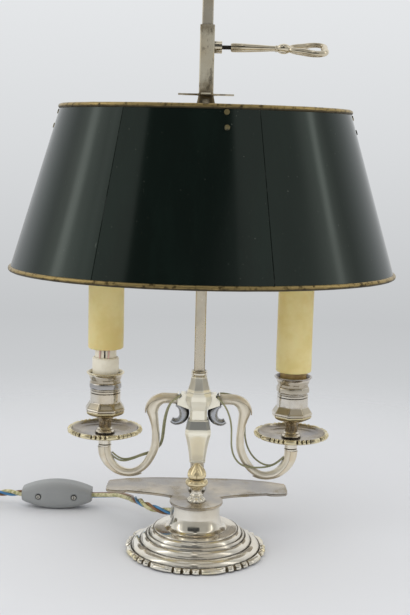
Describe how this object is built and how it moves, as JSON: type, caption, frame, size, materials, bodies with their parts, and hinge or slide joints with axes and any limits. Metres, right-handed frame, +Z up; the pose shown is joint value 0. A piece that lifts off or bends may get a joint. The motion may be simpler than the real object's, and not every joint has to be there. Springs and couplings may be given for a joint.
{
  "type": "bouillotte table lamp",
  "caption": "Silver plated table lamp with two fixed candle arms, an oval painted metal shade that slides on a square stem and is held by a clamp screw, and a lead with a switch.",
  "frame": {"origin": "on the stem's axis at the level of the table, which is also the middle of the lamp's own box", "axes": "+Z up the stem, +X towards the right candle and the clamp screw, -Y to the front, where the round foot stands"},
  "size_m": [0.5088, 0.2572, 0.5753],
  "materials": {
    "silver_plate": "silver plate over brass, hand worn, soft polish",
    "stem_rod_silver": "drawn bar, silver plated, fine lengthwise marks",
    "shade_paint": "glossy dark green black enamel on sheet steel",
    "shade_gilt": "rubbed gilt on the rolled edges",
    "strap_brass": "darkened brass strip",
    "rivet_brass": "dull brass with enamel on the edge",
    "sleeve_wax": "wax coloured card tube, slightly mottled",
    "holder_white": "off white moulded plastic",
    "bulb_glass": "frosted candle bulb",
    "cap_metal": "rolled screw cap",
    "steel": "plain steel rod and nuts",
    "ballast_iron": "rough casting",
    "felt": "green baize",
    "grommet_rubber": "pale grey bush",
    "switch_grey": "grey moulded plastic, fine texture",
    "cord_fabric": "twisted cores in a clear and cream cover",
    "wire_olive": "thin olive grey wire",
    "plug_grey": "dark moulded plug",
    "pin_nickel": "nickel plated pins",
    "tie_strap": "black hook and loop strap"
  },
  "bodies": {
    "lamp": {"foot": "silver_plate", "drum": "silver_plate", "plate": "silver_plate", "acorn_foot": "silver_plate", "acorn_finial": "silver_plate", "column_foot": "silver_plate", "lower_vase": "silver_plate", "hub": "silver_plate", "bell": "silver_plate", "rod_collar": "silver_plate", "rod_finial": "silver_plate", "arm_left": "silver_plate", "arm_right": "silver_plate", "scroll_left": "silver_plate", "scroll_right": "silver_plate", "pan_collar_left": "silver_plate", "pan_collar_right": "silver_plate", "pan_left": "silver_plate", "pan_right": "silver_plate", "cup_left": "silver_plate", "cup_right": "silver_plate", "rod": "stem_rod_silver", "holder_base_left": "holder_white", "holder_base_right": "holder_white", "holder_body_left": "holder_white", "holder_body_right": "holder_white", "bulb_left": "bulb_glass", "bulb_right": "bulb_glass", "bulb_caps": "cap_metal", "base_tie_rod": "steel", "stem_tie_rod": "steel", "base_nuts": "steel", "arm_studs": "steel", "nipples": "steel", "switch_screws": "steel", "foot_ballast": "ballast_iron", "base_felt": "felt", "cord_grommet": "grommet_rubber", "switch_front": "switch_grey", "switch_back": "switch_grey", "cord_lamp_side": "cord_fabric", "cord_wall_side": "cord_fabric", "cord_coil": "cord_fabric", "wires_left": "wire_olive", "wires_right": "wire_olive", "plug_body": "plug_grey", "plug_pins": "pin_nickel", "cord_tie": "tie_strap"},
    "shade": {"slider_tube": "silver_plate", "carrier_cross": "strap_brass", "shade_straps": "strap_brass", "shade_shell": "shade_paint", "shade_bead_top": "shade_gilt", "shade_bead_bottom": "shade_gilt", "shade_rivets": "rivet_brass"},
    "clamp": {"clamp_screw": "silver_plate"},
    "sleeve_left": {"sleeve_left": "sleeve_wax"},
    "sleeve_right": {"sleeve_right": "sleeve_wax"},
    "rocker": {"switch_rocker": "switch_grey"}
  },
  "joints": [
    {"name": "shade_slide", "type": "slide", "parent": "lamp", "child": "shade", "axis": [0, 0, 1], "range_m": [-0.055, 0.07]},
    {"name": "clamp_screw_turn", "type": "hinge", "parent": "shade", "child": "clamp", "pos_m": [0.02, 0, 0.455], "axis": [1, 0, 0], "range_deg": [0, 360]},
    {"name": "sleeve_left_slide", "type": "slide", "parent": "lamp", "child": "sleeve_left", "axis": [0, 0, 1], "range_m": [-0.022, 0.001]},
    {"name": "sleeve_right_slide", "type": "slide", "parent": "lamp", "child": "sleeve_right", "axis": [0, 0, 1], "range_m": [-0.004, 0.019]},
    {"name": "switch_rock", "type": "hinge", "parent": "lamp", "child": "rocker", "pos_m": [-0.142, 0.0773, 0.0138], "axis": [0, 0, 1], "range_deg": [0, 12]}
  ]
}
